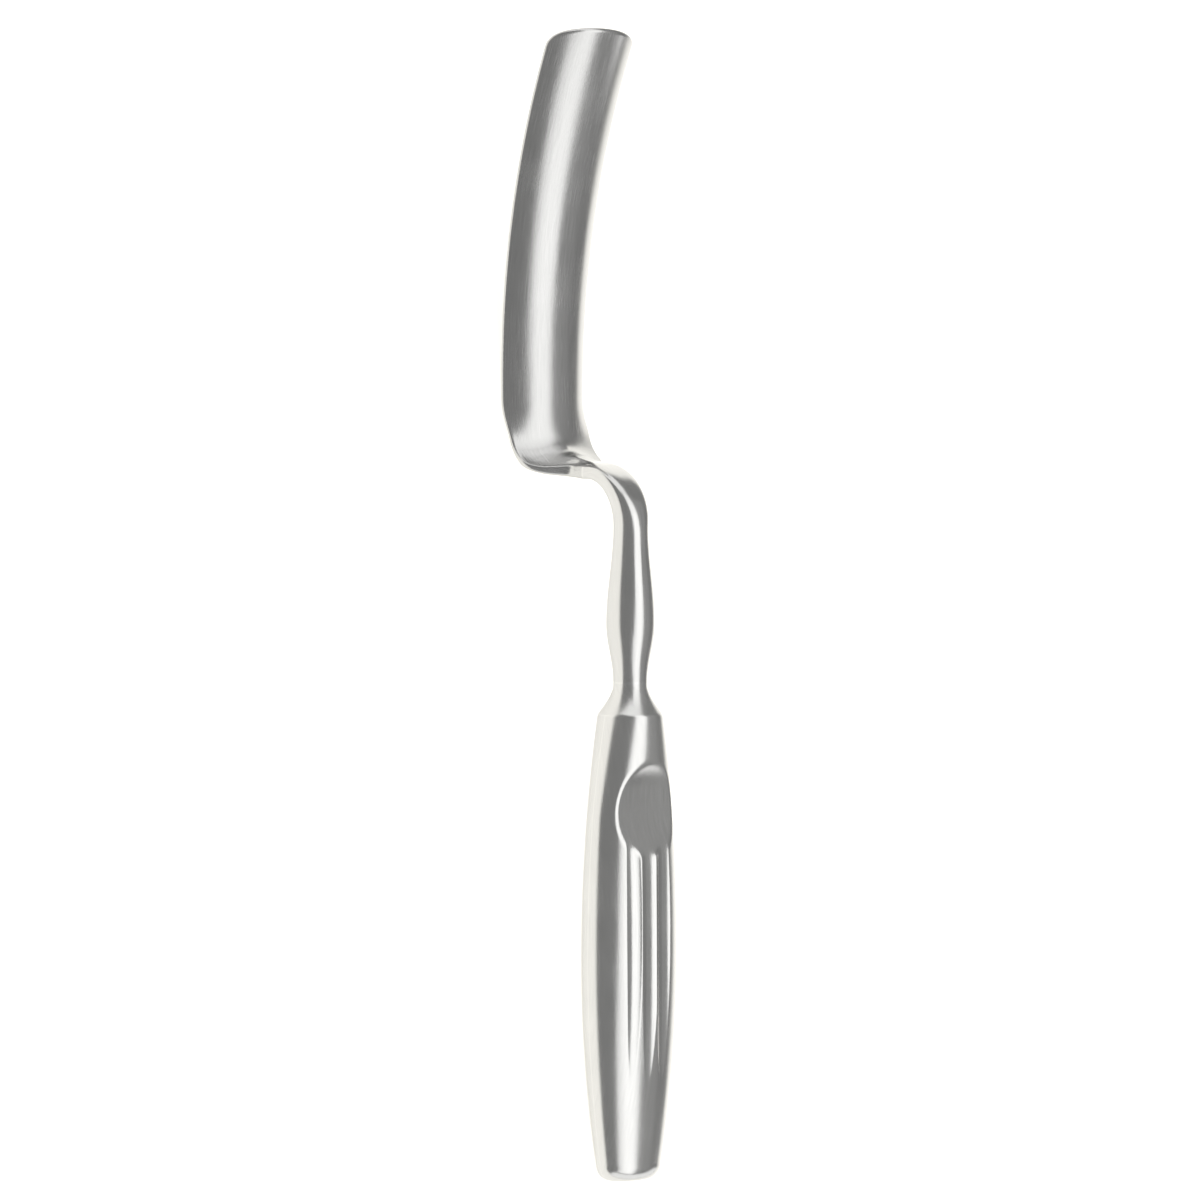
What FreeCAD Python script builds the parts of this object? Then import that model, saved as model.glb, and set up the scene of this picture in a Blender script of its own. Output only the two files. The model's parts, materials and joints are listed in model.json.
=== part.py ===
import FreeCAD, Part
import math
import os
import Sketcher

# Cranked hand retractor: gutter blade, cranked baluster shank and hollow oval handle.
# Tool axes while modelling: z runs up the handle toward the blade, x points to the
# thumb-rest side, y is sideways.  The finished pieces are laid on the table at the end.

doc = FreeCAD.newDocument("cranked_retractor")
sheet = doc.addObject("Spreadsheet::Sheet", "Sizes")

SIZES = [
    ("handle_length", 125.8),
    ("handle_width", 29.8),
    ("handle_depth", 19.9),
    ("handle_end_width", 20.4),
    ("handle_bulge_height", 61.3),
    ("handle_corner", 4.4),
    ("shell_wall", 2.2),
    ("foot_wall", 2.0),
    ("foot_trim", 0.3),
    ("rest_height", 99.5),
    ("rest_radius", 25.0),
    ("rest_floor", 5.9),
    ("rest_skin", 1.5),
    ("flute_pitch", 5.4),
    ("flute_depth", 0.9),
    ("flute_top", 92.0),
    ("flute_foot", 26.0),
    ("collar_top", 134.4),
    ("collar_plug", 7.0),
    ("neck_radius", 4.65),
    ("bulge_radius", 6.62),
    ("bulge_height", 150.4),
    ("shank_radius", 4.75),
    ("bend_start", 177.2),
    ("bend_radius", 13.8),
    ("crank_rise", 5.0),
    ("crank_width", 10.6),
    ("crank_depth", 4.8),
    ("joint_reach", 14.0),
    ("tang_radius", 3.0),
    ("tang_foot", 76.0),
    ("bush_foot", 78.0),
    ("bush_depth", 6.0),
    ("blade_width", 28.6),
    ("tip_width", 30.8),
    ("blade_sagitta", 6.6),
    ("blade_wall", 1.9),
    ("blade_offset", 29.9),
    ("heel_radius", 8.0),
    ("curve_start", 215.0),
    ("curve_radius", 222.0),
    ("blade_top", 310.4),
    ("tip_roundness", 2.0),
    ("tip_arch", 9.4),
    ("lying_tilt", 8.1),
]
for row, (name, value) in enumerate(SIZES, 1):
    sheet.set("A%d" % row, name)
    sheet.set("B%d" % row, repr(value))
    sheet.setAlias("B%d" % row, name)
doc.recompute()


def size(name):
    return float(sheet.get(name))


def vec(x, y, z):
    return FreeCAD.Vector(x, y, z)


def ease(share):
    share = min(1.0, max(0.0, share))
    return share * share * (3 - 2 * share)


def feature(label, shape):
    obj = doc.addObject("Part::Feature", label)
    obj.Label = label
    obj.Shape = shape
    return obj


def spline(points):
    last = len(points) - 1
    curve = Part.BSplineCurve()
    curve.interpolate(Points=points, Parameters=[i / last for i in range(last + 1)])
    return curve.toShape()


def ring(points):
    count = len(points)
    curve = Part.BSplineCurve()
    curve.interpolate(Points=points, PeriodicFlag=True,
                      Parameters=[i / count for i in range(count + 1)])
    return Part.Wire([curve.toShape()])


def loft(wires):
    return Part.makeLoft(wires, True, False)


def on_path(place, across, out):
    x, z, angle = place
    return vec(x + out * math.cos(angle), across, z + out * math.sin(angle))


def flat_section(height, half_width, half_depth, centre=0.0):
    points = []
    for step in range(24):
        turn = 2 * math.pi * (step + 3) / 24
        points.append(vec(centre + half_depth * math.cos(turn), half_width * math.sin(turn),
                          height))
    return ring(points)


def gutter_section(place, width, wall, sagitta):
    """Sheet section, bowed by `sagitta`, with fully rounded side edges."""
    half = width / 2 - wall / 2
    bow = max(sagitta, 0.02)
    radius = (half * half + bow * bow) / (2 * bow)
    spread = math.asin(half / radius)

    def skin(share, side):
        turn = share * spread
        reach = radius + side * wall / 2
        return on_path(place, reach * math.sin(turn), reach * math.cos(turn) - radius)

    def edge(sign, side):
        turn = sign * spread
        middle_across = radius * math.sin(turn)
        middle_out = radius * math.cos(turn) - radius
        points = []
        for step in range(7):
            lean = turn + sign * side * math.pi * step / 6
            points.append(on_path(place, middle_across + wall / 2 * math.sin(lean),
                                  middle_out + wall / 2 * math.cos(lean)))
        return points

    shares = [i / 8 - 1 for i in range(17)]
    outer = [skin(share, 1) for share in shares]
    inner = [skin(-share, -1) for share in shares]
    right = edge(1, 1)
    left = edge(-1, 1)[::-1]
    return Part.Wire([spline(outer), spline(right), spline(inner), spline(left)])


def bar_section(place, half_width, half_depth, squareness):
    points = []
    for step in range(24):
        turn = 2 * math.pi * step / 24
        c = math.cos(turn)
        s = math.sin(turn)
        across = half_width * math.copysign(abs(c) ** (2 / squareness), c)
        out = half_depth * math.copysign(abs(s) ** (2 / squareness), s)
        points.append(on_path(place, across, out))
    return ring(points)


def handle_half_width(height):
    middle = size("handle_bulge_height")
    drop = (size("handle_width") - size("handle_end_width")) / 2
    run = middle - size("handle_corner")
    if height > middle:
        run = size("handle_length") - middle
    return size("handle_width") / 2 - drop * ((height - middle) / run) ** 2


def handle_slimness():
    return size("handle_depth") / size("handle_width")


def handle_region(inset, foot, top):
    """Half outline of the handle in the y-z plane, drawn on the -y side."""
    corner = size("handle_corner")
    middle = size("handle_bulge_height")
    low = foot + corner

    def side(height):
        return vec(0, inset - handle_half_width(height), height)

    start = side(low)
    pull = corner * (1 - math.sqrt(0.5))
    floor = vec(0, start.y + corner, foot)
    edges = [
        Part.LineSegment(vec(0, 0, foot), floor).toShape(),
        Part.Arc(floor, vec(0, start.y + pull, foot + pull), start).toShape(),
        Part.Arc(start, side((low + middle) / 2), side(middle)).toShape(),
        Part.Arc(side(middle), side((middle + top) / 2), side(top)).toShape(),
        Part.LineSegment(side(top), vec(0, 0, top)).toShape(),
        Part.LineSegment(vec(0, 0, top), vec(0, 0, foot)).toShape(),
    ]
    return Part.Face(Part.Wire(edges))


def flatten(shape):
    squash = FreeCAD.Matrix()
    squash.scale(vec(handle_slimness(), 1, 1))
    return shape.transformGeometry(squash)


def turned(region, start, sweep):
    region = region.copy()
    region.rotate(vec(0, 0, 0), vec(0, 0, 1), start)
    return flatten(region.revolve(vec(0, 0, 0), vec(0, 0, 1), sweep))


def sketch_body(label, role):
    body = doc.addObject("PartDesign::Body", label)
    plane = [f for f in body.Origin.OriginFeatures if f.Role == role][0]
    sketch = body.newObject("Sketcher::SketchObject", label + "_sketch")
    sketch.AttachmentSupport = [(plane, "")]
    sketch.MapMode = "FlatFace"
    return body, sketch


# Hollow handle ------------------------------------------------------------------------

def rest_cylinder(name, radius):
    """Cylinder lying across the handle, whose rim scoops out the thumb rest."""
    rod = doc.addObject("Part::Cylinder", name)
    rod.Placement.Rotation = FreeCAD.Rotation(vec(1, 0, 0), -90)
    rod.setExpression("Radius", radius)
    rod.setExpression("Height", "3 * Sizes.handle_width")
    rod.setExpression("Placement.Base.x", "Sizes.rest_floor + Sizes.rest_radius")
    rod.setExpression("Placement.Base.y", "-1.5 * Sizes.handle_width")
    rod.setExpression("Placement.Base.z", "Sizes.rest_height")
    return rod


def flute(across, side, top_depth):
    """Ring-shaped cutter whose rim sinks a long groove that runs out to a point."""
    slim = size("handle_depth") / size("handle_width")
    radius = size("flute_pitch") * 0.6
    foot = size("flute_foot")
    top = size("flute_top")
    middle = (foot + top) / 2
    points = []
    for height, depth in ((foot, 0.0), (middle, size("flute_depth")), (top, top_depth)):
        half_width = handle_half_width(height)
        skin = half_width * slim * math.sqrt(1 - (across / half_width) ** 2)
        lean = math.atan2(across * slim, math.sqrt(half_width ** 2 - across ** 2))
        reach = skin + (radius - depth) * math.cos(lean)
        points.append((reach, height))
    shift = across + (radius - size("flute_depth")) * math.sin(lean)
    (ax, az), (bx, bz), (cx, cz) = points
    chord = math.hypot(cx - ax, cz - az)
    tilt = math.atan2(cx - ax, cz - az)
    bow = bx - (ax + cx) / 2
    if top_depth == 0.0:
        start = vec(side * (ax - chord * math.sin(tilt)), shift, az - chord * math.cos(tilt))
        along = vec(side * math.sin(tilt), 0, math.cos(tilt))
        return Part.makeCylinder(radius, 3 * chord, start, along)
    sweep = chord ** 2 / (8 * bow) + bow / 2
    hub_x = bx - sweep * math.cos(tilt)
    hub_z = bz + sweep * math.sin(tilt)
    torus = Part.makeTorus(sweep, radius, vec(side * hub_x, shift, hub_z), vec(0, 1, 0))
    reach = 2 * size("handle_width")
    below_rest = Part.makeBox(reach, reach, top, vec(0, -reach / 2, 0))
    return torus.common(below_rest)


rest_scoop = rest_cylinder("rest_scoop", "Sizes.rest_radius")
rest_pad = rest_cylinder("rest_pad", "Sizes.rest_radius + Sizes.rest_skin")
doc.recompute()
core = turned(handle_region(size("shell_wall"), size("foot_wall"), size("handle_length") + 1),
              45, 360)
handle_cavity = doc.addObject("Part::Cut", "handle_cavity")
handle_cavity.Base = feature("handle_core", core)
handle_cavity.Tool = rest_pad
doc.recompute()


def flutes(name, side, top_depth):
    rows = (-1, 0, 1)
    return [feature("%s_flute_%d" % (name, row + 1),
                    flute(row * size("flute_pitch"), side, top_depth)) for row in rows]


def half_shell(label, sweep, cuts):
    region = handle_region(0.0, -size("foot_trim"), size("handle_length"))
    latest = feature(label + "_blank", turned(region, 0, sweep))
    for number, cutter in enumerate(cuts):
        name = label if number == len(cuts) - 1 else "%s_cut_%d" % (label, number)
        step = doc.addObject("Part::Cut", name)
        step.Base = latest
        step.Tool = cutter
        latest = step
    doc.recompute()
    return latest


foot_plane = doc.addObject("Part::Box", "foot_plane")
foot_plane.setExpression("Length", "2 * Sizes.handle_width")
foot_plane.setExpression("Width", "2 * Sizes.handle_width")
foot_plane.setExpression("Height", "Sizes.handle_corner")
foot_plane.setExpression("Placement.Base.x", "-Sizes.handle_width")
foot_plane.setExpression("Placement.Base.y", "-Sizes.handle_width")
foot_plane.setExpression("Placement.Base.z", "-Sizes.handle_corner")
front_cutters = [handle_cavity, foot_plane, rest_scoop] + flutes("front", 1, 0.75)
back_cutters = [handle_cavity, foot_plane] + flutes("back", -1, 0.0)
handle_front_shell = half_shell("handle_front_shell", 180, front_cutters)
handle_back_shell = half_shell("handle_back_shell", -180, back_cutters)


# Collar closing the handle mouth ---------------------------------------------------------

def collar_flare():
    foot = size("handle_length")
    top = size("collar_top")
    slim = size("handle_depth") / size("handle_width")
    wide = handle_half_width(foot)
    neck = size("neck_radius")
    wires = []
    count = 10
    for step in range(count + 1):
        share = step / count
        swell = ease(1 - share * 1.1)
        height = foot + (top - foot) * share
        wires.append(flat_section(height, neck + (wide - neck) * swell,
                                  neck + (wide * slim - neck) * swell))
    return loft(wires)


def plug_region():
    foot = size("handle_length") - size("collar_plug")
    top = size("handle_length")
    wall = size("shell_wall")
    middle = (foot + top) / 2
    low_side = vec(0, wall - handle_half_width(foot), foot)
    mid_side = vec(0, wall - handle_half_width(middle), middle)
    top_side = vec(0, wall - handle_half_width(top), top)
    edges = [
        Part.LineSegment(vec(0, 0, foot), low_side).toShape(),
        Part.Arc(low_side, mid_side, top_side).toShape(),
        Part.LineSegment(top_side, vec(0, 0, top)).toShape(),
        Part.LineSegment(vec(0, 0, top), vec(0, 0, foot)).toShape(),
    ]
    return Part.Face(Part.Wire(edges))


flare = collar_flare()
plug = turned(plug_region(), 45, 360)
collar_blank = feature("collar_blank", flare.fuse(plug).removeSplitter())
collar_bore = doc.addObject("Part::Cylinder", "collar_bore")
collar_bore.setExpression("Radius", "Sizes.tang_radius")
collar_bore.setExpression("Height", "Sizes.handle_length")
collar_bore.setExpression("Placement.Base.z", "Sizes.tang_foot")
shoulder_collar = doc.addObject("Part::Cut", "shoulder_collar")
shoulder_collar.Base = collar_blank
shoulder_collar.Tool = collar_bore
doc.recompute()


# Shank --------------------------------------------------------------------------------------

def shank_radius(height):
    neck = size("collar_top")
    bulge = size("bulge_height")
    end = size("bend_start")
    if height < bulge:
        share = (height - neck) / (bulge - neck)
        low = size("neck_radius")
    else:
        share = (end - height) / (end - bulge)
        low = size("shank_radius")
    swell = 0.5 - 0.5 * math.cos(math.pi * min(1.0, max(0.0, share)))
    return low + (size("bulge_radius") - low) * swell


def crank_place(travel):
    """Place on the shank centre line, `travel` from the neck to the crank joint."""
    neck = size("collar_top")
    start = size("bend_start")
    rise = math.radians(size("crank_rise"))
    bend = size("bend_radius")
    if travel <= start - neck:
        return 0.0, neck + travel, 0.0
    travel -= start - neck
    turn = math.pi / 2 - rise
    if travel <= bend * turn:
        angle = travel / bend
        return -bend + bend * math.cos(angle), start + bend * math.sin(angle), angle
    travel -= bend * turn
    x = -bend + bend * math.cos(turn) - travel * math.cos(rise)
    z = start + bend * math.sin(turn) + travel * math.sin(rise)
    return x, z, turn


def crank_length():
    rise = math.radians(size("crank_rise"))
    bend = size("bend_radius")
    turn = math.pi / 2 - rise
    run = (size("joint_reach") - bend + bend * math.cos(turn)) / math.cos(rise)
    return size("bend_start") - size("collar_top") + bend * turn + run


def bar_station(travel):
    """Round below the bend, flattening into a squared bar along the crank."""
    place = crank_place(travel)
    upright = size("bend_start") - size("collar_top")
    bent = size("bend_radius") * (math.pi / 2 - math.radians(size("crank_rise")))
    radius = shank_radius(min(place[1], size("bend_start")))
    blend = ease((travel - upright + 3) / (0.8 * bent + 3))
    half_width = radius + (size("crank_width") / 2 - radius) * blend
    half_depth = radius + (size("crank_depth") / 2 - radius) * blend
    return bar_section(place, half_width, half_depth, 2.0 + 0.8 * blend)


def shank_loft():
    joint = crank_length()
    count = 34
    return loft([bar_station(joint * i / count) for i in range(count + 1)])


tang = doc.addObject("Part::Cylinder", "shank_tang")
tang.setExpression("Radius", "Sizes.tang_radius")
tang.setExpression("Height", "Sizes.collar_top - Sizes.tang_foot")
tang.setExpression("Placement.Base.z", "Sizes.tang_foot")
cranked_shank = doc.addObject("Part::MultiFuse", "cranked_shank")
cranked_shank.Shapes = [feature("shank_bar", shank_loft()), tang]
doc.recompute()


# Blade ------------------------------------------------------------------------------------

def blade_path(travel):
    """Place (x, z, outward angle) of the crest line, `travel` from the crank joint."""
    rise = math.radians(size("crank_rise"))
    heel = size("heel_radius")
    offset = size("blade_offset")
    turn = math.pi / 2 - rise
    centre_x = -offset + heel
    start_x = centre_x - heel * math.sin(rise)
    flat = (-size("joint_reach") - start_x) / math.cos(rise)
    joint_z = crank_place(crank_length())[1]
    start_z = joint_z + flat * math.sin(rise)
    centre_z = start_z + heel * math.cos(rise)
    if travel <= flat:
        x = -size("joint_reach") - travel * math.cos(rise)
        z = joint_z + travel * math.sin(rise)
        return x, z, math.pi / 2 - rise
    travel -= flat
    if travel <= heel * turn:
        angle = math.pi / 2 - rise - travel / heel
        return centre_x - heel * math.cos(angle), centre_z - heel * math.sin(angle), angle
    travel -= heel * turn
    straight = size("curve_start") - centre_z
    if travel <= straight:
        return -offset, centre_z + travel, 0.0
    travel -= straight
    lean = travel / size("curve_radius")
    sweep = size("curve_radius")
    x = -offset + sweep * (1 - math.cos(lean))
    z = size("curve_start") + sweep * math.sin(lean)
    return x, z, -lean


def blade_lengths():
    rise = math.radians(size("crank_rise"))
    heel = size("heel_radius")
    flat = (size("blade_offset") - heel + heel * math.sin(rise)
            - size("joint_reach")) / math.cos(rise)
    bent = heel * (math.pi / 2 - rise)
    joint_z = crank_place(crank_length())[1]
    centre_z = joint_z + flat * math.sin(rise) + heel * math.cos(rise)
    straight = size("curve_start") - centre_z
    lean = math.asin((size("blade_top") - size("curve_start")) / size("curve_radius"))
    return flat, bent, straight, lean * size("curve_radius")


def blade_shape(travel):
    """Width, wall and sagitta of the sheet at `travel` from the crank joint."""
    flat, bent, straight, curved = blade_lengths()
    narrow = size("crank_width")
    open_run = flat + bent
    width = narrow + (size("blade_width") - narrow) * ease(travel / (open_run + 1.0))
    splay = max(0.0, travel - open_run) / (straight + curved)
    width += (size("tip_width") - size("blade_width")) * splay
    bow = size("blade_sagitta") * ease((travel - 0.8 * flat) / (bent + 0.8 * straight)) ** 1.3
    thick = size("crank_depth")
    wall = thick + (size("blade_wall") - thick) * ease(travel / open_run)
    return width, wall, bow


def gutter_loft():
    flat, bent, straight, curved = blade_lengths()
    length = flat + bent + straight + curved
    count = 40
    stops = [length * i / count for i in range(count + 1)]
    wires = []
    for travel in stops:
        width, wall, bow = blade_shape(travel)
        wires.append(gutter_section(blade_path(travel), width, wall, bow))
    return loft(wires)


def tip_plan():
    """Block with a superellipse end, squared to the tip of the blade."""
    half = size("tip_width") / 2 + 0.05
    arch = size("tip_arch")
    power = 2 / size("tip_roundness")
    reach = 60.0
    outline = []
    for step in range(25):
        turn = math.pi * step / 24
        across = half * math.copysign(abs(math.cos(turn)) ** power, math.cos(turn))
        outline.append(vec(0, across, arch * (abs(math.sin(turn)) ** power - 1)))
    edges = [
        spline(outline),
        Part.LineSegment(outline[-1], vec(0, -half, -reach)).toShape(),
        Part.LineSegment(vec(0, -half, -reach), vec(0, half, -reach)).toShape(),
        Part.LineSegment(vec(0, half, -reach), outline[0]).toShape(),
    ]
    block = Part.Face(Part.Wire(edges)).extrude(vec(60, 0, 0))
    block.translate(vec(-30, 0, 0))
    x, z, angle = blade_path(sum(blade_lengths()))
    block.rotate(vec(0, 0, 0), vec(0, 1, 0), -math.degrees(angle))
    block.translate(vec(x, 0, z))
    return block


def below_tip():
    """Everything well below the tip, kept whole when the tip is trimmed."""
    x, z, angle = blade_path(sum(blade_lengths()) - 30)
    return Part.makeBox(120, 120, 300, vec(x - 60, -60, z - 300))


gutter_blade = doc.addObject("Part::MultiCommon", "gutter_blade")
gutter_blade.Shapes = [feature("gutter_sheet", gutter_loft()),
                       feature("tip_keep", tip_plan().fuse(below_tip()))]
doc.recompute()


# Bush that centres the tang inside the handle -------------------------------------------------

bush_body, bush_sketch = sketch_body("bush_disc", "XY_Plane")
bush_sketch.addGeometry(Part.Circle(vec(0, 0, 0), vec(0, 0, 1), size("handle_width") / 2), False)
bush_sketch.addConstraint(Sketcher.Constraint("Coincident", 0, 3, -1, 1))
bush_sketch.addConstraint(Sketcher.Constraint("Radius", 0, size("handle_width") / 2))
bush_sketch.setExpression("Constraints[1]", "Sizes.handle_width / 2")
bush_sketch.addGeometry(Part.Circle(vec(0, 0, 0), vec(0, 0, 1), size("tang_radius")), False)
bush_sketch.addConstraint(Sketcher.Constraint("Coincident", 1, 3, -1, 1))
bush_sketch.addConstraint(Sketcher.Constraint("Radius", 1, size("tang_radius")))
bush_sketch.setExpression("Constraints[3]", "Sizes.tang_radius")
bush_pad = bush_body.newObject("PartDesign::Pad", "bush_pad")
bush_pad.Profile = bush_sketch
bush_pad.setExpression("Length", "Sizes.bush_depth")
bush_body.Tip = bush_pad
bush_body.setExpression("Placement.Base.z", "Sizes.bush_foot")
tang_bush = doc.addObject("Part::Common", "tang_bush")
tang_bush.Base = bush_body
tang_bush.Tool = handle_cavity
doc.recompute()


# Laying the tool down --------------------------------------------------------------------------

PIECES = [
    ("gutter_blade", gutter_blade),
    ("cranked_shank", cranked_shank),
    ("shoulder_collar", shoulder_collar),
    ("handle_front_shell", handle_front_shell),
    ("handle_back_shell", handle_back_shell),
    ("tang_bush", tang_bush),
]


def lying_rotation():
    tilt = math.radians(size("lying_tilt"))
    toward_x = vec(1, 0, 0)
    along = vec(0, math.cos(tilt), math.sin(tilt))
    upward = vec(0, -math.sin(tilt), math.cos(tilt))
    matrix = FreeCAD.Matrix(upward.x, toward_x.x, along.x, 0,
                            upward.y, toward_x.y, along.y, 0,
                            upward.z, toward_x.z, along.z, 0,
                            0, 0, 0, 1)
    return FreeCAD.Placement(matrix)


turn = lying_rotation()
whole = Part.makeCompound([piece.Shape for label, piece in PIECES])
whole.Placement = turn
points = whole.tessellate(0.02)[0]
bounds = FreeCAD.BoundBox()
for point in points:
    bounds.add(point)
shift = vec(-(bounds.XMin + bounds.XMax) / 2, -(bounds.YMin + bounds.YMax) / 2, -bounds.ZMin)
lay = FreeCAD.Placement(shift, turn.Rotation)

os.makedirs("parts", exist_ok=True)
for label, piece in PIECES:
    shape = piece.Shape.copy()
    shape.Placement = lay
    placed = feature(label + "_placed", shape)
    placed.Label = label
doc.recompute()
for label, piece in PIECES:
    placed = doc.getObject(label + "_placed")
    assert not placed.Shape.isNull(), label
    assert placed.Shape.isValid(), label
    placed.Shape.exportStep("parts/%s.step" % label)
for obj in doc.Objects:
    assert "Invalid" not in obj.State and "Error" not in obj.State, obj.Name
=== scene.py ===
"""Looks of the cranked gutter-blade hand retractor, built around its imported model."""
import json
import math

import bmesh
import bpy
from mathutils import Matrix, Vector


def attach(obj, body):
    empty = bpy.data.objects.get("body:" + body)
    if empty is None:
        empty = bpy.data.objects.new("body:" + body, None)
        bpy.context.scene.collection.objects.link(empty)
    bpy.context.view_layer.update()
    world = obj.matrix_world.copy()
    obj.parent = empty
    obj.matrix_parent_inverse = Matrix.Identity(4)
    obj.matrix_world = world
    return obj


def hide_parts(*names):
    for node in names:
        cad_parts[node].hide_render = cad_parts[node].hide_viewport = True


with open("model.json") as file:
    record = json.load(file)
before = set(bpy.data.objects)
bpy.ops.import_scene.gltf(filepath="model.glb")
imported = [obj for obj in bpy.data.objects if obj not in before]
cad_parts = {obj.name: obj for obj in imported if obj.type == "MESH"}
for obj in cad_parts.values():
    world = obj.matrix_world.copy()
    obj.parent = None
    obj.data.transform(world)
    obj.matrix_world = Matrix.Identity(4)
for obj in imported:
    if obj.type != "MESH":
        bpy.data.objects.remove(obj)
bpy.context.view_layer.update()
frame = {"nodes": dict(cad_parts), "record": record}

# Tool axes, in millimetres: z from the butt to the tip, x to the thumb side, y sideways -

mount = [m for m in frame["record"]["mounts"] if m["name"] == "butt_rest"][0]
ALONG = -Vector(mount["axis"]).normalized()
SIDE = Vector((1, 0, 0))
THUMB = SIDE.cross(ALONG).normalized()
MOUNT_OFF_AXIS = 0.002
ORIGIN = Vector(mount["pos_m"]) - THUMB * MOUNT_OFF_AXIS


def to_row(x, y, z):
    """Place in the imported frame, in metres, of a point on the tool axes, in millimetres."""
    return ORIGIN + (THUMB * x + SIDE * y + ALONG * z) * 0.001


def ease(share):
    share = min(1.0, max(0.0, share))
    return share * share * (3 - 2 * share)


def lerp(a, b, share):
    return a + (b - a) * share


def soft_min(a, b, reach):
    """The smaller of two values, rounded off where they are within `reach`."""
    near = max(reach - abs(a - b), 0.0) / reach
    return min(a, b) - near * near * reach / 4


def signed_power(value, power):
    return math.copysign(abs(value) ** power, value)


# Handle ---------------------------------------------------------------------------------

FOOT_CORNER = 4.4
FOOT_LOW = 4.1
HANDLE_TOP = 125.8
COLLAR_TOP = 134.4
NECK = 4.65
SWELL_HEIGHT = 61.3
HALF_WIDTH = 14.9
NARROWING = 4.7
SLIM = 19.9 / 29.8
ROUNDING_START = 98
ROUNDING = 0.3
ROUNDING_POWER = 1.3
WIDTH_SHARE = 0.56
SHOULDER_BLEND = 1.2
FLARE_RUN = 7.6
FLARE_POWER = 1.4
REST_HEIGHT = 100.9
REST_RADIUS = 26.0
REST_FLOOR = 5.9
REST_BLEND = 0.6
FLUTE_PITCH = 5.1
FLUTE_SHIFT = -0.9
FLUTE_RADIUS = 6.1
FLUTE_DEPTH = 0.82
FLUTE_FOOT = 26.0
FLUTE_TOP = 92.0
FLUTE_DEEPENING = 0.0375
FLUTE_LEVELLING = 0.00042
FLUTE_TILT = 0.3
FLUTE_BLEND = 0.08
FLUTE_ZONE = (20, 104)
FLUTE_FADE_START = 95
FLUTE_FADE_RUN = 8
FRONT_STEPS, BACK_STEPS, COLLAR_STEPS = 320, 160, 160
FOOT_ROWS, BODY_ROWS, SHOULDER_ROWS, COLLAR_ROWS = 12, 220, 8, 36
SHOULDER_ROW_STEP = 0.2
SOLE_SHARES = (0.96, 0.8, 0.5, 0.2)
HANDLE_CREASE = 50
FORGING_CREASE = 75
MERGE_REACH = 2e-6


def handle_half_width(height):
    run = SWELL_HEIGHT - FOOT_CORNER if height < SWELL_HEIGHT else HANDLE_TOP - SWELL_HEIGHT
    return HALF_WIDTH - NARROWING * ((height - SWELL_HEIGHT) / run) ** 2


def handle_oval(height):
    """Half width and half depth; the oval grows rounder toward the shoulder."""
    width = handle_half_width(height)
    share = min(1.0, max(0.0, (height - ROUNDING_START) / (HANDLE_TOP - ROUNDING_START)))
    slim = SLIM + ROUNDING * share ** ROUNDING_POWER
    width *= math.sqrt((WIDTH_SHARE + (1 - WIDTH_SHARE) * SLIM ** 2)
                       / (WIDTH_SHARE + (1 - WIDTH_SHARE) * slim ** 2))
    return width, width * slim


def body_section(height):
    """Half width and half depth, rounded in at the foot and drawn in above the shoulder."""
    if height < FOOT_LOW:
        inward = FOOT_CORNER - math.sqrt(FOOT_CORNER ** 2 - (FOOT_LOW - height) ** 2)
        width = handle_half_width(FOOT_LOW) - inward
        return width, width * SLIM
    width, depth = handle_oval(height)
    above = height - HANDLE_TOP
    if above < -SHOULDER_BLEND:
        return width, depth
    left = 1 - above / FLARE_RUN
    swell = max(0.0, left) ** FLARE_POWER
    top_width, top_depth = handle_oval(HANDLE_TOP)
    return (soft_min(width, NECK + (top_width - NECK) * swell, 0.4),
            soft_min(depth, NECK + (top_depth - NECK) * swell, 0.3))


def flute_depth(height, front):
    """Depth of a groove; the front ones run out into the thumb rest, the back ones taper."""
    if not front:
        middle = (FLUTE_FOOT + FLUTE_TOP) / 2
        return FLUTE_DEPTH * (1 - ((height - middle) / (middle - FLUTE_FOOT)) ** 2)
    up = height - FLUTE_FOOT
    return FLUTE_DEEPENING * up - FLUTE_LEVELLING * up * up


def flute_drop(out, across, height, line, front):
    """How far below the skin point (out, across) the groove's round floor lies, and where to."""
    width = handle_half_width(height)
    offset = line * FLUTE_PITCH + (FLUTE_SHIFT if front else 0.0)
    root = math.sqrt(width ** 2 - offset ** 2)
    lean = math.atan2(offset * SLIM, root)
    deeper = 1 + FLUTE_TILT * line if front else 1.0
    reach = FLUTE_RADIUS - deeper * flute_depth(height, front)
    hub_out = SLIM * root + reach * math.cos(lean)
    hub_across = offset + reach * math.sin(lean)
    from_out, from_across = out - hub_out, across - hub_across
    toward = from_out * math.cos(lean) + from_across * math.sin(lean)
    inside = FLUTE_RADIUS ** 2 - from_out ** 2 - from_across ** 2 + toward ** 2
    if inside <= 0:
        return None
    drop = toward + math.sqrt(inside)
    return drop, lean


def carved(across, height, out, front):
    """Skin point with the thumb rest and the flutes sunk in."""
    if height > HANDLE_TOP - 4 or out <= 0.01:
        return out, across
    if FLUTE_ZONE[0] < height < FLUTE_ZONE[1]:
        fade = 1 - ease((height - FLUTE_FADE_START) / FLUTE_FADE_RUN)
        for line in (-1, 0, 1):
            found = flute_drop(out, across, height, line, front)
            if found:
                drop, lean = found
                sunk = -soft_min(0.0, -drop, FLUTE_BLEND) * fade
                out -= sunk * math.cos(lean)
                across -= sunk * math.sin(lean)
    if front and abs(height - REST_HEIGHT) < REST_RADIUS - 0.5:
        drop = math.sqrt(REST_RADIUS ** 2 - (height - REST_HEIGHT) ** 2)
        out = soft_min(out, REST_FLOOR + REST_RADIUS - drop, REST_BLEND)
    return out, across


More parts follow.
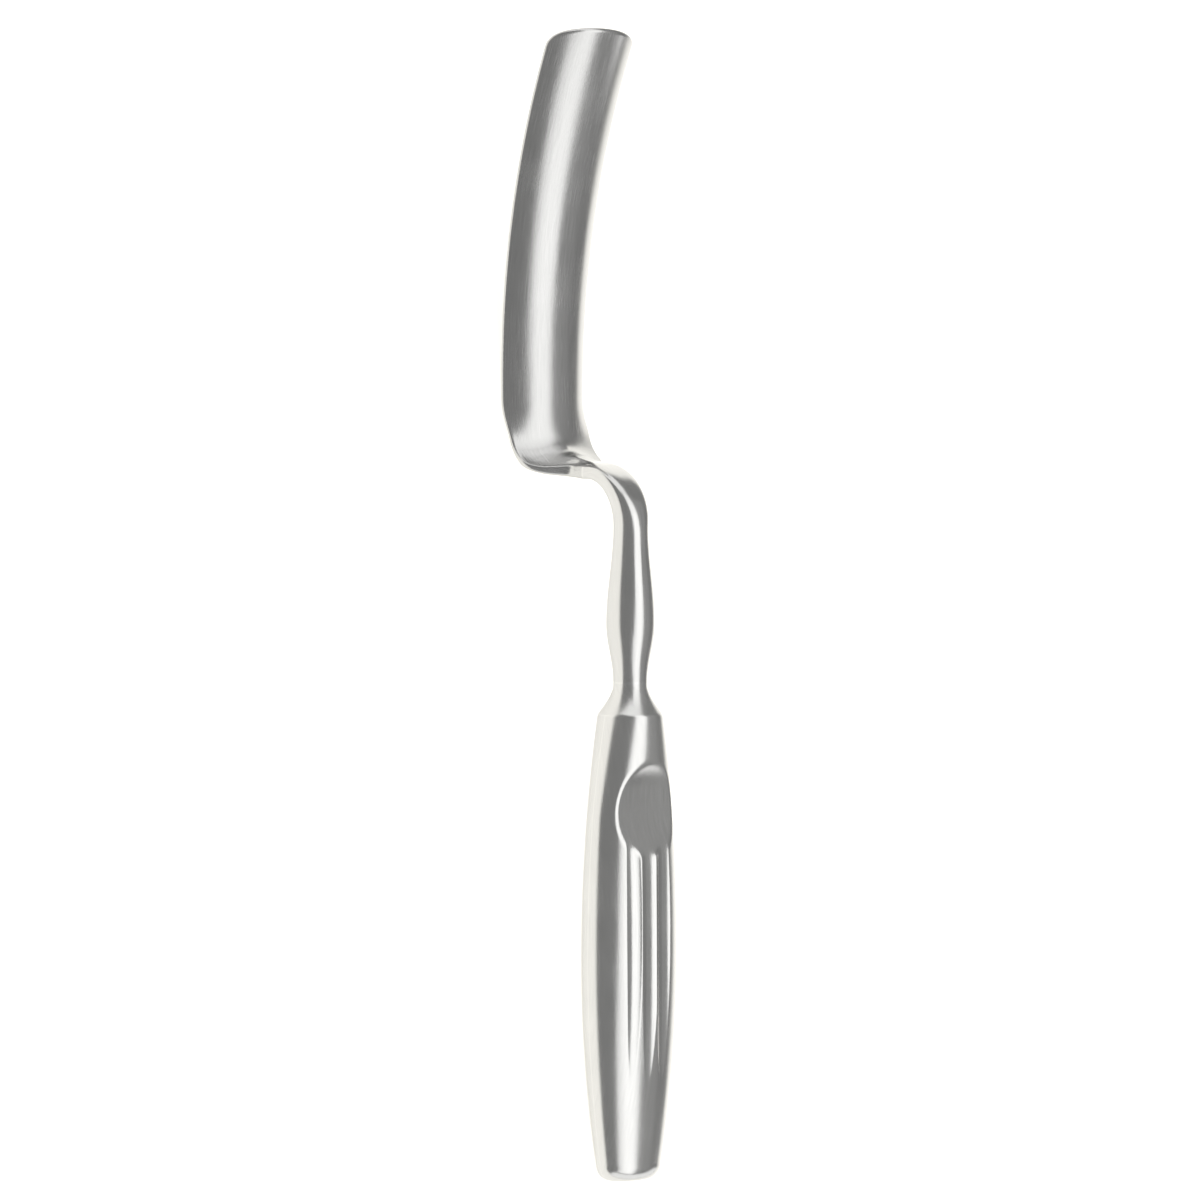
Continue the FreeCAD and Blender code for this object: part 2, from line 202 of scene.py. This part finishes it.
def handle_rows():
    first = math.acos(FOOT_LOW / FOOT_CORNER)
    turns = [lerp(first, math.pi / 2, i / FOOT_ROWS) for i in range(FOOT_ROWS)]
    body_top = HANDLE_TOP - SHOULDER_ROWS * SHOULDER_ROW_STEP
    rows = [FOOT_LOW - FOOT_CORNER * math.cos(turn) for turn in turns]
    rows += [lerp(FOOT_LOW, body_top, i / BODY_ROWS) for i in range(BODY_ROWS)]
    rows += [body_top + SHOULDER_ROW_STEP * i for i in range(SHOULDER_ROWS)]
    return rows


def collar_rows():
    return [lerp(HANDLE_TOP, COLLAR_TOP, i / COLLAR_ROWS) for i in range(COLLAR_ROWS + 1)]


def half_ring(height, front, count):
    width, depth = body_section(height)
    ring = []
    for step in range(count + 1):
        turn = math.pi * step / count
        out, across = carved(width * math.cos(turn), height, depth * math.sin(turn), front)
        ring.append((out if front else -out, across, height))
    return ring


class Builder:
    """Collects rings of points with (length, girth) coordinates and makes them a mesh."""

    def __init__(self):
        self.points = []
        self.coords = []
        self.faces = []

    def ring(self, points, length, anchors=((0, 0),)):
        """Add a ring; each anchor is (where it starts to count, where girth is zero)."""
        start = len(self.points)
        girths = [0.0]
        for last, point in zip(points, points[1:]):
            girths.append(girths[-1] + math.dist(last, point))
        for number, point in enumerate(points):
            zero = [middle for first, middle in anchors if first <= number][-1]
            self.points.append(to_row(*point))
            self.coords.append((length * 0.001, (girths[number] - girths[zero]) * 0.001))
        return list(range(start, start + len(points)))

    def bridge(self, low, high, closed):
        last = len(low) if closed else len(low) - 1
        for a in range(last):
            b = (a + 1) % len(low)
            self.faces.append((low[a], low[b], high[b], high[a]))

    def piece(self, name, material, replaced, crease, merge=None):
        mesh = bpy.data.meshes.new(name)
        mesh.from_pydata(self.points, [], self.faces)
        layer = mesh.uv_layers.new(name="grain")
        for loop in mesh.loops:
            layer.data[loop.index].uv = self.coords[loop.vertex_index]
        work = bmesh.new()
        work.from_mesh(mesh)
        if merge:
            bmesh.ops.remove_doubles(work, verts=work.verts, dist=merge)
        bmesh.ops.recalc_face_normals(work, faces=work.faces)
        for face in work.faces:
            face.smooth = True
        for edge in work.edges:
            if len(edge.link_faces) == 2 and edge.calc_face_angle(0.0) > math.radians(crease):
                edge.smooth = False
        work.to_mesh(mesh)
        work.free()
        mesh.materials.append(material)
        obj = bpy.data.objects.new(name, mesh)
        bpy.context.scene.collection.objects.link(obj)
        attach(obj, "root")
        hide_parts(*replaced)
        return obj


def half_skin(name, front, count, material):
    build = Builder()
    rows = handle_rows() + [HANDLE_TOP]
    rings = []
    for height in rows:
        rings.append(build.ring(half_ring(height, front, count), height))
    foot = half_ring(rows[0], front, count)
    soles = [rings[0]]
    for share in SOLE_SHARES:
        soles.append(build.ring([(x * share, y * share, z) for x, y, z in foot], share))
        build.bridge(soles[-1], soles[-2], False)
    build.faces.append(tuple(soles[-1]))
    for low, high in zip(rings, rings[1:]):
        build.bridge(low, high, False)
        sole = [ring[-1] for ring in soles] + [ring[0] for ring in soles[::-1]]
        bottom = sole if low is rings[0] else [low[-1], low[0]]
        build.faces.append((*bottom, high[0], high[-1]))
    build.faces.append(tuple(rings[-1]))
    node = "handle_front_shell" if front else "handle_back_shell"
    return build.piece(name, material, [node], HANDLE_CREASE)


def collar(material):
    build = Builder()
    rings = []
    for height in collar_rows():
        front = half_ring(height, True, COLLAR_STEPS)
        back = half_ring(height, False, COLLAR_STEPS)[::-1]
        rings.append(build.ring(front[:-1] + back[:-1], height))
    for low, high in zip(rings, rings[1:]):
        build.bridge(low, high, True)
    build.faces.append(tuple(rings[0]))
    build.faces.append(tuple(rings[-1]))
    return build.piece("collar_flare", material, ["shoulder_collar"],
                       HANDLE_CREASE)


# Forged shank and blade -----------------------------------------------------------------

BULGE = 6.62
BULGE_HEIGHT = 150.4
SHANK = 4.75
BEND_START = 177.2
BEND_RADIUS = 13.8
RISE = math.radians(5.0)
CRANK_WIDTH = 10.6
CRANK_DEPTH = 4.8
JOINT_REACH = 14.0
BLADE_WIDTH = 28.6
TIP_WIDTH = 30.7
BOW = 6.6
WALL = 1.84
PLATE = 4.2
OFFSET = 29.9
HEEL = 8.0
CURVE_START = 215.0
CURVE = 222.0
BLADE_TOP = 310.4
TIP_ARCH = 9.4
TIP_ROUND = 2.0
TIP_SLANT = 1.3
SLANT_START = 26
SLANT_RUN = 22
SLANT_LEVEL = 0.45
RIDGE_HALF = 4.0
RIDGE_END = 0.8
RIDGE_RUN = 22
RIDGE_POWER = 1.7
RIDGE_LIMIT, RIDGE_LIMIT_BLEND = 0.62, 1.5
RIDGE_BLEND = 0.5
HEEL_SWELL = 1.1
SWELL_START, SWELL_RUN = 1, 12
SWELL_STOP, SWELL_FADE = 13, 13
RIM_RUN = 25
RIM_THINNING = 0.65
RIM_ROUNDS = (0.65, 0.8)
RIM_LIFTS = (0.75, 1.0)
WIDENING_START, WIDENING_RUN = 3.5, 11
BOW_LEAD, BOW_TAIL = 0.8, 0.8
BOW_POWER = 1.3
LEAST_BOW = 0.02
WALL_LEAD, WALL_EXTRA = 0.3, 9
BASE_EXTRA = 6
BAR_LEAD, BAR_SHARE = 3, 0.8
BAR_ROUND, BAR_SQUARING = 2.0, 1.6
BAR_CORNER = 40
JOINT_BEFORE, JOINT_AFTER = 5.0, 1.5
HEEL_EXTRA = 14


def crank_place(travel):
    """Place (x, z) and lean of the shank's centre line, `travel` from the neck."""
    straight = BEND_START - COLLAR_TOP
    if travel <= straight:
        return 0.0, COLLAR_TOP + travel, 0.0
    travel -= straight
    turn = math.pi / 2 - RISE
    if travel <= BEND_RADIUS * turn:
        angle = travel / BEND_RADIUS
        return (BEND_RADIUS * math.cos(angle) - BEND_RADIUS,
                BEND_START + BEND_RADIUS * math.sin(angle), angle)
    travel -= BEND_RADIUS * turn
    x = BEND_RADIUS * math.cos(turn) - BEND_RADIUS - travel * math.cos(RISE)
    return x, BEND_START + BEND_RADIUS * math.sin(turn) + travel * math.sin(RISE), turn


CRANK_LENGTH = (BEND_START - COLLAR_TOP + BEND_RADIUS * (math.pi / 2 - RISE)
                + (JOINT_REACH - BEND_RADIUS + BEND_RADIUS * math.sin(RISE)) / math.cos(RISE))
JOINT_Z = crank_place(CRANK_LENGTH)[1]
FLAT = (OFFSET - HEEL + HEEL * math.sin(RISE) - JOINT_REACH) / math.cos(RISE)
BENT = HEEL * (math.pi / 2 - RISE)
HEEL_Z = JOINT_Z + FLAT * math.sin(RISE) + HEEL * math.cos(RISE)
STRAIGHT = CURVE_START - HEEL_Z
CURVED = math.asin((BLADE_TOP - CURVE_START) / CURVE) * CURVE
BLADE_LENGTH = FLAT + BENT + STRAIGHT + CURVED


def blade_place(travel):
    """Place (x, z) and lean of the sheet, `travel` past the joint."""
    if travel <= FLAT:
        return (-JOINT_REACH - travel * math.cos(RISE), JOINT_Z + travel * math.sin(RISE),
                math.pi / 2 - RISE)
    travel -= FLAT
    if travel <= BENT:
        angle = math.pi / 2 - RISE - travel / HEEL
        return HEEL - OFFSET - HEEL * math.cos(angle), HEEL_Z - HEEL * math.sin(angle), angle
    travel -= BENT
    if travel <= STRAIGHT:
        return -OFFSET, HEEL_Z + travel, 0.0
    lean = (travel - STRAIGHT) / CURVE
    return CURVE * (1 - math.cos(lean)) - OFFSET, CURVE_START + CURVE * math.sin(lean), -lean


def shank_radius(height):
    """Radius of the turned shank, thin at the neck and at the bend, swollen between."""
    if height < BULGE_HEIGHT:
        share, low = (height - COLLAR_TOP) / (BULGE_HEIGHT - COLLAR_TOP), NECK
    else:
        share, low = (BEND_START - height) / (BEND_START - BULGE_HEIGHT), SHANK
    share = min(1.0, max(0.0, share))
    return low + (BULGE - low) * (0.5 - 0.5 * math.cos(math.pi * share))


OUTER, EDGE, INNER = 96, 14, 48
SHANK_RINGS, HEEL_RINGS, BODY_RINGS, TIP_RINGS = 130, 90, 80, 26


def bar_loop(travel):
    """Section points (across, out) of the round shank, flattening to a squared bar."""
    upright = BEND_START - COLLAR_TOP
    bent = BEND_RADIUS * (math.pi / 2 - RISE)
    radius = shank_radius(min(crank_place(min(travel, CRANK_LENGTH))[1], BEND_START))
    blend = ease((travel - upright + BAR_LEAD) / (BAR_SHARE * bent + BAR_LEAD))
    wide = lerp(radius, CRANK_WIDTH / 2, blend)
    deep = lerp(radius, CRANK_DEPTH / 2, blend)
    power = 2 / (BAR_ROUND + BAR_SQUARING * blend)
    near, far = BAR_CORNER, 180 - BAR_CORNER
    angles = [lerp(far, near, i / OUTER) for i in range(OUTER)]
    angles += [lerp(near, -near, i / EDGE) for i in range(EDGE)]
    angles += [lerp(-near, -far, i / INNER) for i in range(INNER)]
    angles += [lerp(-far, -180 - near, i / EDGE) for i in range(EDGE)]
    loop = []
    for degrees in angles:
        angle = math.radians(degrees)
        loop.append((wide * signed_power(math.cos(angle), power),
                     deep * signed_power(math.sin(angle), power)))
    return loop


def blade_shape(travel):
    """Width, full wall, rim thickness and bow of the sheet, `travel` past the joint."""
    open_run = FLAT + BENT
    width = lerp(CRANK_WIDTH, BLADE_WIDTH, ease((travel - WIDENING_START) / WIDENING_RUN))
    width += (TIP_WIDTH - BLADE_WIDTH) * max(0.0, travel - open_run) / (STRAIGHT + CURVED)
    bow = BOW * ease((travel - BOW_LEAD * FLAT) / (BENT + BOW_TAIL * STRAIGHT)) ** BOW_POWER
    thinned = (travel - WALL_LEAD * open_run) / (0.7 * open_run + WALL_EXTRA)
    wall = lerp(CRANK_DEPTH, WALL, ease(thinned))
    plate = lerp(PLATE, WALL, ease(travel / (RIM_THINNING * open_run)))
    swelling = ease((travel - SWELL_START) / SWELL_RUN)
    wall += HEEL_SWELL * swelling * (1 - ease((travel - SWELL_STOP) / SWELL_FADE))
    return width, wall, plate, bow


def blade_ring(travel, narrow, fan):
    """Ring across the sheet; `narrow` shrinks it and `fan` turns its rim toward the tip."""
    width, wall, plate, bow = blade_shape(travel)
    half = (width - plate) / 2
    bow = max(bow, LEAST_BOW)
    radius = (half * half + bow * bow) / (2 * bow)
    spread = math.asin(half * narrow / radius)
    base = -lerp(CRANK_DEPTH, WALL, ease(travel / (FLAT + BENT + BASE_EXTRA))) / 2
    ridge = lerp(RIDGE_HALF, RIDGE_END, min(1.0, travel / RIDGE_RUN))
    crest = soft_min(ridge, RIDGE_LIMIT * half, RIDGE_LIMIT_BLEND)
    slant = TIP_SLANT * ease((travel - BLADE_LENGTH + SLANT_START) / SLANT_RUN)

    def spot(turn, arc, lift, ahead):
        x, z, angle = blade_place(travel + ahead - slant * (SLANT_LEVEL + turn * radius / half))
        turn += arc / radius
        across = (radius + lift) * math.sin(turn)
        out = (radius + lift) * math.cos(turn) - radius
        return x + out * math.cos(angle), across, z + out * math.sin(angle)

    def top(share):
        across = abs(radius * math.sin(share * spread))
        slope = -soft_min(0.0, (crest - across) / (half - crest), RIDGE_BLEND)
        rise = max(0.0, 1 - slope) ** RIDGE_POWER
        return base + plate + (wall - plate) * rise

    points = [spot(lerp(-1, 1, i / OUTER) * spread, 0, top(lerp(-1, 1, i / OUTER)), 0)
              for i in range(OUTER)]
    middle = base + plate / 2
    softness = ease(travel / RIM_RUN)
    round_power, lift_power = lerp(*RIM_ROUNDS, softness), lerp(*RIM_LIFTS, softness)
    for side in (1, -1):
        for i in range(EDGE):
            lean = side * lerp(math.pi / 2, -math.pi / 2, i / EDGE)
            beyond = plate / 2 * max(0.0, math.cos(lean)) ** round_power
            lift = middle + plate / 2 * signed_power(math.sin(lean), lift_power)
            points.append(spot(side * spread, side * beyond * math.cos(fan), lift,
                               beyond * math.sin(fan)))
        if side == 1:
            points += [spot(lerp(1, -1, i / INNER) * spread, 0, base, 0) for i in range(INNER)]
    return points


def forged_rings():
    """All the rings from the neck to the tip, each with its length along the tool."""
    rings = []
    blend_low, blend_high = CRANK_LENGTH - JOINT_BEFORE, CRANK_LENGTH + JOINT_AFTER
    stops = [CRANK_LENGTH * i / SHANK_RINGS for i in range(SHANK_RINGS)]
    heel_run = FLAT + BENT + HEEL_EXTRA
    stops += [CRANK_LENGTH + heel_run * i / HEEL_RINGS for i in range(HEEL_RINGS)]
    body_run = BLADE_LENGTH - TIP_ARCH - heel_run
    stops += [CRANK_LENGTH + heel_run + body_run * i / BODY_RINGS for i in range(BODY_RINGS)]
    for travel in stops:
        past = travel - CRANK_LENGTH
        share = ease((travel - blend_low) / (blend_high - blend_low))
        x, z, angle = crank_place(travel) if past < 0 else blade_place(past)
        if share < 1:
            bar = [(x + out * math.cos(angle), across, z + out * math.sin(angle))
                   for across, out in bar_loop(travel)]
        if share > 0:
            sheet = blade_ring(max(past, 0.0), 1.0, 0.0)
            if past < 0:
                x0, z0, _ = blade_place(0.0)
                sheet = [(px + x - x0, py, pz + z - z0) for px, py, pz in sheet]
        if share <= 0:
            ring = bar
        elif share >= 1:
            ring = sheet
        else:
            ring = [tuple(lerp(a, b, share) for a, b in zip(p, q)) for p, q in zip(bar, sheet)]
        rings.append((ring, COLLAR_TOP + travel))
    inset = TIP_ARCH - WALL / 2
    for step in range(TIP_RINGS + 1):
        turn = math.pi / 2 * step / TIP_RINGS
        up = inset * math.sin(turn) ** (2 / TIP_ROUND)
        narrow = max(math.cos(turn), 0.0) ** (2 / TIP_ROUND)
        travel = BLADE_LENGTH - TIP_ARCH + up
        half = blade_shape(travel)[0] / 2
        slope_up = (up / inset) ** (TIP_ROUND - 1) / inset if up else 0.0
        slope_side = narrow ** (TIP_ROUND - 1) / half if narrow > 1e-9 else 0.0
        fan = math.atan2(slope_up, slope_side) if up else 0.0
        rings.append((blade_ring(travel, narrow, fan), COLLAR_TOP + CRANK_LENGTH + travel))
    return rings


def forged(name, rings, material, replaced, tip):
    build = Builder()
    right, under, left = OUTER, OUTER + EDGE, OUTER + EDGE + INNER
    anchors = ((0, OUTER // 2), (right, right), (under, under + INNER // 2), (left, left))
    loops = [build.ring(points, length, anchors) for points, length in rings]
    for low, high in zip(loops, loops[1:]):
        build.bridge(low, high, True)
    build.faces.append(tuple(loops[0]))
    if not tip:
        build.faces.append(tuple(loops[-1]))
    return build.piece(name, material, replaced, FORGING_CREASE, merge=MERGE_REACH)


# Materials ------------------------------------------------------------------------------

GRAIN_SCALES = (110.0, 6500.0)
SPECKLE_SCALE = 3200.0
MOTTLE_SCALE = 55.0
MOTTLE_RANGE = (0.3, 0.7)
WEAR_RANGE = (0.52, 0.62)
BUMP_DEPTH = 0.00002


def node(tree, kind, inputs=None, **settings):
    """New node with its own settings and the constants on its input sockets."""
    made = tree.nodes.new(kind)
    for key, value in settings.items():
        setattr(made, key, value)
    for socket, value in (inputs or {}).items():
        made.inputs[socket].default_value = value
    return made


def scaled(colour, factor):
    return (*[min(1.0, c * factor) for c in colour], 1)


def map_range(tree, source, spread, low, high):
    """Stretch `spread` of a node's value to between `low` and `high`."""
    made = node(tree, "ShaderNodeMapRange", {"From Min": spread[0], "From Max": spread[1],
                                             "To Min": low, "To Max": high})
    tree.links.new(source, made.inputs["Value"])
    return made.outputs["Result"]


def brushed_steel(name, colour, roughness, grain, speckle, use_uv=True):
    """Satin steel: fine lines along the tool, faint mottling, speckle and polished edges."""
    material = bpy.data.materials.new(name)
    material.use_nodes = True
    tree = material.node_tree
    link = tree.links.new
    shader = tree.nodes["Principled BSDF"]
    shader.inputs["Metallic"].default_value = 1.0
    shader.inputs["Anisotropic"].default_value = 0.35

    along, around = GRAIN_SCALES
    if use_uv:
        source = node(tree, "ShaderNodeUVMap", uv_map="grain").outputs["UV"]
        lines_scale = (along, around, 1.0)
    else:
        source = node(tree, "ShaderNodeTexCoord").outputs["Object"]
        lines_scale = (around, along, around)
    stretch = node(tree, "ShaderNodeMapping", {"Scale": lines_scale})
    link(source, stretch.inputs["Vector"])
    lines = node(tree, "ShaderNodeTexNoise", {"Scale": 1.0, "Detail": 4.0})
    link(stretch.outputs["Vector"], lines.inputs["Vector"])

    place = node(tree, "ShaderNodeTexCoord").outputs["Object"]
    fine = node(tree, "ShaderNodeTexNoise", {"Scale": SPECKLE_SCALE, "Detail": 2.0})
    link(place, fine.inputs["Vector"])
    broad = node(tree, "ShaderNodeTexNoise", {"Scale": MOTTLE_SCALE, "Detail": 3.0})
    link(place, broad.inputs["Vector"])
    pointiness = node(tree, "ShaderNodeNewGeometry").outputs["Pointiness"]
    worn = map_range(tree, pointiness, WEAR_RANGE, 0.0, 1.0)

    tone = node(tree, "ShaderNodeMixRGB",
                {"Color1": scaled(colour, 0.955), "Color2": scaled(colour, 1.045)})
    link(broad.outputs["Fac"], tone.inputs["Fac"])
    streak = node(tree, "ShaderNodeMixRGB", {"Fac": 1.0}, blend_type="MULTIPLY")
    shade = map_range(tree, lines.outputs["Fac"], MOTTLE_RANGE, 1.0 - grain * 0.5, 1.0)
    link(tone.outputs["Color"], streak.inputs["Color1"])
    link(shade, streak.inputs["Color2"])
    polish = node(tree, "ShaderNodeMixRGB", {"Color2": scaled(colour, 1.12)})
    link(worn, polish.inputs["Fac"])
    link(streak.outputs["Color"], polish.inputs["Color1"])
    link(polish.outputs["Color"], shader.inputs["Base Color"])

    rough = map_range(tree, broad.outputs["Fac"], MOTTLE_RANGE,
                      roughness - 0.03, roughness + 0.04)
    grained = node(tree, "ShaderNodeMath", {1: grain * 0.5}, operation="MULTIPLY_ADD")
    link(lines.outputs["Fac"], grained.inputs[0])
    link(rough, grained.inputs[2])
    smoother = node(tree, "ShaderNodeMath", {1: -0.07}, operation="MULTIPLY_ADD")
    link(worn, smoother.inputs[0])
    link(grained.outputs["Value"], smoother.inputs[2])
    link(smoother.outputs["Value"], shader.inputs["Roughness"])

    low = node(tree, "ShaderNodeBump", {"Strength": speckle, "Distance": BUMP_DEPTH})
    link(fine.outputs["Fac"], low.inputs["Height"])
    high = node(tree, "ShaderNodeBump", {"Strength": grain, "Distance": BUMP_DEPTH})
    link(lines.outputs["Fac"], high.inputs["Height"])
    link(low.outputs["Normal"], high.inputs["Normal"])
    link(high.outputs["Normal"], shader.inputs["Normal"])
    return material


blade_steel = brushed_steel("blade_steel", (0.535, 0.533, 0.525), 0.155, 0.34, 0.8)
shank_steel = brushed_steel("shank_steel", (0.56, 0.558, 0.548), 0.14, 0.22, 0.6)
handle_steel = brushed_steel("handle_steel", (0.575, 0.573, 0.562), 0.15, 0.24, 0.8)
bush_steel = brushed_steel("bush_steel", (0.5, 0.5, 0.5), 0.35, 0.3, 0.2, use_uv=False)

half_skin("handle_front_skin", True, FRONT_STEPS, handle_steel)
half_skin("handle_back_skin", False, BACK_STEPS, handle_steel)
collar(handle_steel)
all_rings = forged_rings()
forged("shank_forging", all_rings[:SHANK_RINGS + 1], shank_steel,
       ["cranked_shank"], False)
forged("blade_forging", all_rings[SHANK_RINGS:], blade_steel,
       ["gutter_blade"], True)
frame["nodes"]["tang_bush"].data.materials.clear()
frame["nodes"]["tang_bush"].data.materials.append(bush_steel)


# Table, lights and camera ---------------------------------------------------------------

def floor():
    """Plain white table that glows a little around the tool, so that it renders white."""
    mesh = bpy.data.meshes.new("table_top")
    span = 6.0
    mesh.from_pydata([(-span, -span, 0), (span, -span, 0), (span, span, 0), (-span, span, 0)],
                     [], [(0, 1, 2, 3)])
    obj = bpy.data.objects.new("table_top", mesh)
    material = bpy.data.materials.new("table_white")
    material.use_nodes = True
    tree = material.node_tree
    shader = tree.nodes["Principled BSDF"]
    shader.inputs["Base Color"].default_value = (0.93, 0.925, 0.9, 1)
    shader.inputs["Roughness"].default_value = 0.9
    shader.inputs["Specular IOR Level"].default_value = 0.0
    shader.inputs["Emission Color"].default_value = (1.0, 0.975, 0.91, 1)
    place = node(tree, "ShaderNodeTexCoord").outputs["Object"]
    reach = node(tree, "ShaderNodeVectorMath", operation="LENGTH")
    tree.links.new(place, reach.inputs[0])
    spread = node(tree, "ShaderNodeMapRange",
                  {"From Min": 0.14, "From Max": 0.5, "To Min": 0.7, "To Max": 0.0},
                  interpolation_type="SMOOTHSTEP")
    tree.links.new(reach.outputs["Value"], spread.inputs["Value"])
    tree.links.new(spread.outputs["Result"], shader.inputs["Emission Strength"])
    mesh.materials.append(material)
    bpy.context.scene.collection.objects.link(obj)


def area_light(name, low, high, height, radiance):
    """Flat lamp facing down over the rectangle from `low` to `high`, in metres.

    A flat lamp's brightness is its energy over four times its area.
    """
    data = bpy.data.lights.new(name, "AREA")
    data.shape = "RECTANGLE"
    data.size = high[0] - low[0]
    data.size_y = high[1] - low[1]
    data.energy = radiance * 4 * data.size * data.size_y
    obj = bpy.data.objects.new(name, data)
    obj.location = ((low[0] + high[0]) / 2, (low[1] + high[1]) / 2, height)
    bpy.context.scene.collection.objects.link(obj)
    return obj


floor()
BOX_HEIGHT = 1.0
BOX_RIGHT = 0.4
GLOW_DISTANCE = 1.16
# Each tile: near and far end, left edge, brightness
TILES = ((-1.4, -0.8, -0.74, 0.98), (-0.8, -0.45, -0.58, 0.98), (-0.45, -0.15, -0.44, 0.98),
         (-0.15, 0.25, -0.32, 0.98), (0.25, 0.55, -0.32, 1.12), (0.55, 0.85, -0.32, 1.04),
         (0.85, 1.15, -0.32, 0.96))
for number, (near, far, left_edge, radiance) in enumerate(TILES):
    area_light("softbox_%d" % number, (left_edge, near), (BOX_RIGHT, far), BOX_HEIGHT, radiance)
area_light("softbox_core", (-0.25, -1.4), (0.396, 0.25), BOX_HEIGHT + 0.004, 0.24)
# Upright panels past both ends: end, lower and upper corner, brightness
for name, side, low, high, radiance in (("far_glow", 1, (-0.6, 0.0), (0.42, 0.98), 0.88),
                                        ("near_glow", -1, (-0.9, 0.0), (3.0, 0.7), 0.85)):
    panel = area_light(name, low, high, 0.0, radiance)
    panel.location = ((low[0] + high[0]) / 2, side * GLOW_DISTANCE, (low[1] + high[1]) / 2)
    panel.rotation_euler = (math.radians(-90 * side), 0, 0)
area_light("side_glow", (0.5, -1.0), (1.7, 1.0), BOX_HEIGHT, 0.08)

world = bpy.data.worlds.new("dim_room")
bpy.context.scene.world = world
world.use_nodes = True
world.node_tree.nodes["Background"].inputs["Color"].default_value = (1, 1, 1, 1)
world.node_tree.nodes["Background"].inputs["Strength"].default_value = 0.325


def camera():
    """Looks down from the left of the tool, a little rolled, from about 1.8 m."""
    swing, lift, roll = math.radians(41.49), math.radians(-2.80), math.radians(-5.16)
    distance = 1.794
    view_width = 0.3245
    back = Vector((-math.sin(swing) * math.cos(lift), math.sin(lift),
                   math.cos(swing) * math.cos(lift)))
    up = (Vector((0, 1, 0)) - back * back.y).normalized()
    right = up.cross(back)
    turned_right = right * math.cos(roll) + up * math.sin(roll)
    turned_up = up * math.cos(roll) - right * math.sin(roll)
    aim_height, aim_left, aim_up = 0.018, 0.00067, 0.00201
    aim = Vector((0, 0, aim_height)) - turned_right * aim_left + turned_up * aim_up
    data = bpy.data.cameras.new("view")
    data.sensor_width = 36
    data.lens = 36 * distance / view_width
    data.clip_end = 20
    obj = bpy.data.objects.new("view", data)
    place = aim + back * distance
    obj.matrix_world = Matrix((
        (turned_right.x, turned_up.x, back.x, place.x),
        (turned_right.y, turned_up.y, back.y, place.y),
        (turned_right.z, turned_up.z, back.z, place.z),
        (0, 0, 0, 1)))
    bpy.context.scene.collection.objects.link(obj)
    bpy.context.scene.camera = obj


camera()
bpy.context.scene.view_settings.view_transform = "Standard"
